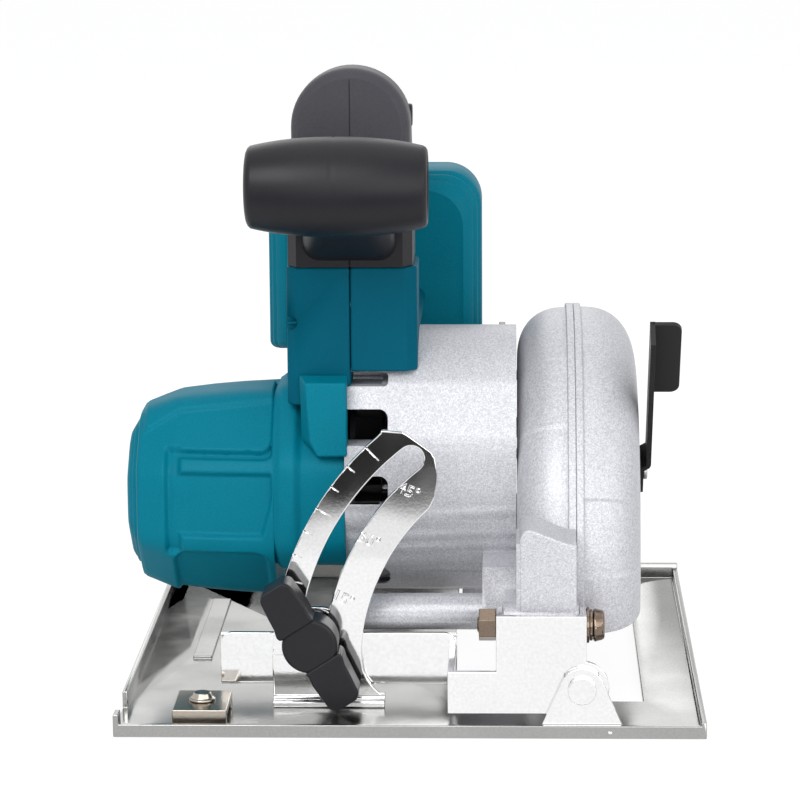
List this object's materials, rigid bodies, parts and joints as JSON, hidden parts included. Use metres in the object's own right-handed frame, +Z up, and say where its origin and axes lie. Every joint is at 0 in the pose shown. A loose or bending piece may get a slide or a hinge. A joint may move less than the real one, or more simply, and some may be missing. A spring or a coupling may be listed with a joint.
{
  "type": "circular saw",
  "caption": "Cordless circular saw without battery or blade: tilting, height-adjustable body on a pressed base plate, with blade guards, top handle and front grip.",
  "frame": {"origin": "middle of the base plate's outline, on its underside", "axes": "+X to the blade side, +Y towards the back of the saw, +Z up from the sole"},
  "size_m": [0.2075, 0.2214, 0.2233],
  "materials": {
    "nickel": "bright nickel plate",
    "bright_nickel": "polished nickel plate",
    "yellow_zinc": "yellow passivated zinc plate",
    "bronze_zinc": "bronze tinted zinc plate",
    "cast_silver": "die casting in silver metallic paint",
    "steel": "turned steel",
    "black_steel": "black painted steel",
    "black_grip": "soft black elastomer",
    "black_plastic": "black moulded nylon",
    "teal_plastic": "teal glass-filled nylon",
    "dark_steel": "dark steel",
    "copper": "copper",
    "brass": "brass"
  },
  "bodies": {
    "base": {"base_plate": "nickel", "bevel_quadrant": "bright_nickel", "front_pivot_lug": "bright_nickel", "rear_pivot_lug": "bright_nickel", "pivot_rivets": "steel", "fence_strap": "yellow_zinc", "fence_screw": "yellow_zinc"},
    "bevel_frame": {"front_bracket": "bright_nickel", "bracket_arm": "bright_nickel", "rear_bracket": "bright_nickel", "depth_guide": "bright_nickel", "clamp_bolt": "steel", "pivot_bolt": "bronze_zinc", "pivot_nut": "bronze_zinc", "pivot_washers": "bronze_zinc"},
    "clamp_knob": {"wing_knob": "black_plastic"},
    "saw_body": {"gear_housing": "cast_silver", "upper_guard_inner": "cast_silver", "upper_guard_outer": "cast_silver", "guard_screws": "steel", "guard_spring": "steel", "depth_bolt": "steel", "motor_housing": "teal_plastic", "housing_flange": "teal_plastic", "motor_end_cap": "teal_plastic", "motor_can": "dark_steel", "brush_holders": "brass", "motor_bearings": "steel", "spindle_bearings": "steel", "body_left": "teal_plastic", "body_right": "teal_plastic", "handle_overmould": "black_grip", "front_grip": "black_grip", "battery_holder": "teal_plastic", "battery_contacts": "brass", "switch_module": "black_plastic", "housing_screws": "dark_steel"},
    "rotor": {"armature": "copper", "motor_shaft": "steel", "commutator": "copper", "motor_fan": "black_plastic", "pinion": "steel"},
    "arbor": {"spindle": "steel", "spindle_gear": "steel", "inner_flange": "steel", "outer_flange": "steel", "blade_bolt": "dark_steel"},
    "swing_guard": {"lower_guard": "steel", "guard_lever": "black_steel", "lever_screw": "steel"},
    "depth_clamp": {"depth_lever": "black_plastic"},
    "trigger_body": {"trigger": "black_plastic"},
    "lock_off": {"lock_off_button": "black_plastic"},
    "lock_pin": {"shaft_lock": "black_plastic"}
  },
  "joints": [
    {"name": "bevel_tilt", "type": "hinge", "parent": "base", "child": "bevel_frame", "pos_m": [0.0596, 0, 0.0168], "axis": [0, 1, 0], "range_deg": [0, 45]},
    {"name": "depth_swing", "type": "hinge", "parent": "bevel_frame", "child": "saw_body", "pos_m": [0.046, -0.092, 0.036], "axis": [1, 0, 0], "range_deg": [-8.8, 12]},
    {"name": "knob_turn", "type": "hinge", "parent": "bevel_frame", "child": "clamp_knob", "pos_m": [-0.03509, -0.088, 0.02759], "axis": [0, 1, 0], "continuous": true},
    {"name": "depth_lever_turn", "type": "hinge", "parent": "saw_body", "child": "depth_clamp", "pos_m": [0.02, 0.07233, 0.07093], "axis": [1, 0, 0], "range_deg": [0, 50]},
    {"name": "spindle_spin", "type": "hinge", "parent": "saw_body", "child": "arbor", "pos_m": [0.05, 0.012, 0.0416], "axis": [1, 0, 0], "continuous": true},
    {"name": "rotor_spin", "type": "hinge", "parent": "saw_body", "child": "rotor", "pos_m": [-0.05, -0.008, 0.06561], "axis": [1, 0, 0], "continuous": true},
    {"name": "guard_swing", "type": "hinge", "parent": "saw_body", "child": "swing_guard", "pos_m": [0.05, 0.012, 0.0416], "axis": [1, 0, 0], "range_deg": [-95, 0], "stiffness_Nm_per_rad": 0.1, "springref_deg": -126.05},
    {"name": "trigger_pull", "type": "slide", "parent": "saw_body", "child": "trigger_body", "axis": [0, 0, 1], "range_m": [0, 0.0045], "stiffness_N_per_m": 600, "springref_m": -0.002},
    {"name": "lock_off_push", "type": "slide", "parent": "saw_body", "child": "lock_off", "axis": [1, 0, 0], "range_m": [-0.003, 0.003], "stiffness_N_per_m": 600},
    {"name": "shaft_lock_push", "type": "slide", "parent": "saw_body", "child": "lock_pin", "axis": [1, 0, 0], "range_m": [0, 0.003], "stiffness_N_per_m": 800, "springref_m": -0.001}
  ],
  "couplings": [
    {"joint": "rotor_spin", "follows": "spindle_spin", "ratio": -4}
  ]
}
